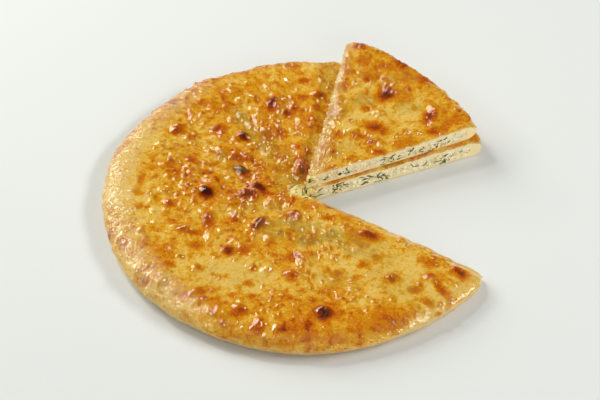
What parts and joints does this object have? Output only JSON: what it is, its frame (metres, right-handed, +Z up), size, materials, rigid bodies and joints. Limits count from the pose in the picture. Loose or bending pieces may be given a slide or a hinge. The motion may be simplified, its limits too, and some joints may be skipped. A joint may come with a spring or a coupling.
{
  "type": "cheese and herb pie",
  "caption": "Round flat baked pie with a cheese and herb filling, a wedge lifted out and laid on the slice beside the gap.",
  "frame": {"origin": "middle of the whole pie's bounding box, on its underside", "axes": "+Z up through the pie's thickness; +X towards the open wedge; the lifted slice lies towards +X and +Y"},
  "size_m": [0.3027, 0.3232, 0.0393],
  "materials": {
    "crust": "baked dough, golden with brown blisters, buttered and glossy on top, pale at the side",
    "filling": "crumbly white cheese with chopped green herbs, moist and matt"
  },
  "bodies": {
    "root": {"pie_crust": "crust", "pie_filling": "filling", "lower_slice_crust": "crust", "lower_slice_filling": "filling", "upper_slice_crust": "crust", "upper_slice_filling": "filling"}
  },
  "joints": []
}
